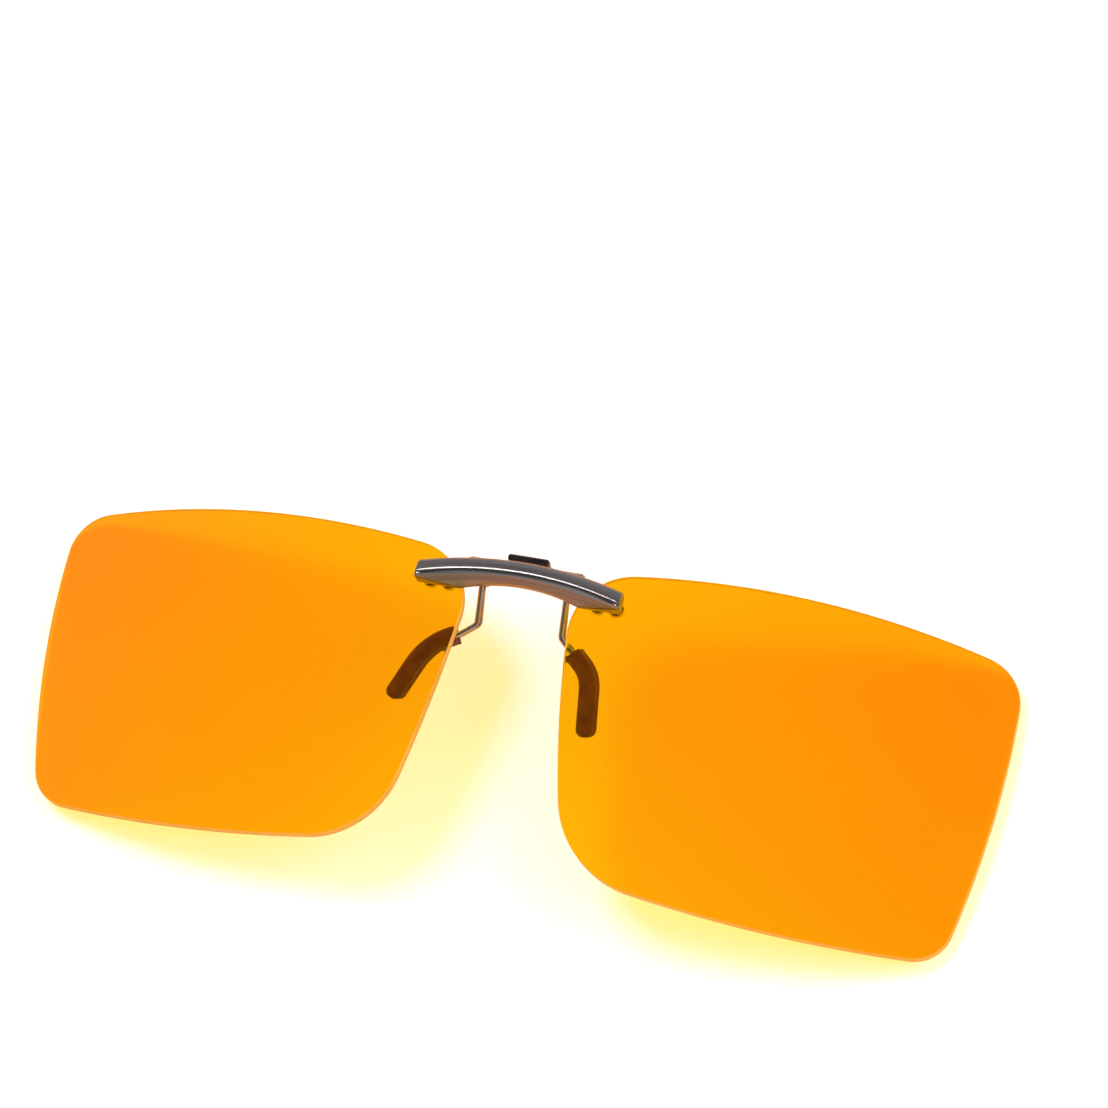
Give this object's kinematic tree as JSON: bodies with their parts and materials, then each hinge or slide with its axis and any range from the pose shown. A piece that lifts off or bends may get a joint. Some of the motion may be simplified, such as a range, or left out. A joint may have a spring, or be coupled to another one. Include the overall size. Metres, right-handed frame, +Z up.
{
  "type": "clip on flip lenses",
  "caption": "Tinted rimless lens pair on an arched bar with a flip hinge and a sprung wire clip that grips spectacles.",
  "frame": {"origin": "on the surface it lies on, under the middle of its box", "axes": "+X to the wearer's left as seen from the front (viewer's right), +Y up the face towards the bridge bar, +Z up, out of the lens fronts; it lies front up on its four outer lens corners"},
  "size_m": [0.1404, 0.047, 0.0178],
  "materials": {
    "tinted_lens": "polished transparent orange, hard coated",
    "satin_metal": "satin gunmetal",
    "clip_metal": "tumbled stamped steel",
    "bright_steel": "polished",
    "prong_wire": "polished drawn wire",
    "spring_steel": "drawn spring wire",
    "clear_plastic": "clear moulded",
    "smoke_silicone": "smoke translucent, soft gloss",
    "black_rubber": "glossy soft cap"
  },
  "bodies": {
    "clip": {"clip_body": "clip_metal", "flip_pin_left": "bright_steel", "flip_pin_right": "bright_steel", "friction_washers": "bright_steel", "lever_pin": "bright_steel", "pin_collar": "bright_steel", "torsion_spring": "spring_steel", "front_wire_left": "prong_wire", "front_wire_right": "prong_wire", "front_sleeve_left": "smoke_silicone", "front_sleeve_right": "smoke_silicone"},
    "lens_frame": {"bridge_bar": "satin_metal", "lens_left": "tinted_lens", "lens_right": "tinted_lens", "lens_posts": "bright_steel", "front_washers": "clear_plastic", "rear_bushes": "clear_plastic", "post_caps": "bright_steel", "hinge_leaf_left": "clip_metal", "hinge_leaf_right": "clip_metal", "leaf_screws": "bright_steel"},
    "rear_jaw": {"jaw_lever": "clip_metal", "squeeze_tab": "black_rubber", "rear_wire_left": "prong_wire", "rear_wire_right": "prong_wire", "rear_sleeve_left": "smoke_silicone", "rear_sleeve_right": "smoke_silicone"}
  },
  "joints": [
    {"name": "flip_hinge", "type": "hinge", "parent": "clip", "child": "lens_frame", "pos_m": [0, 0.02003, 0.01354], "axis": [-1, 0, 0], "range_deg": [0, 90]},
    {"name": "jaw_hinge", "type": "hinge", "parent": "clip", "child": "rear_jaw", "pos_m": [0, 0.01965, 0.01063], "axis": [1, 0, 0], "range_deg": [0, 16], "stiffness_Nm_per_rad": 0.04, "springref_deg": -34.38, "deforming": ["torsion_spring"]}
  ]
}
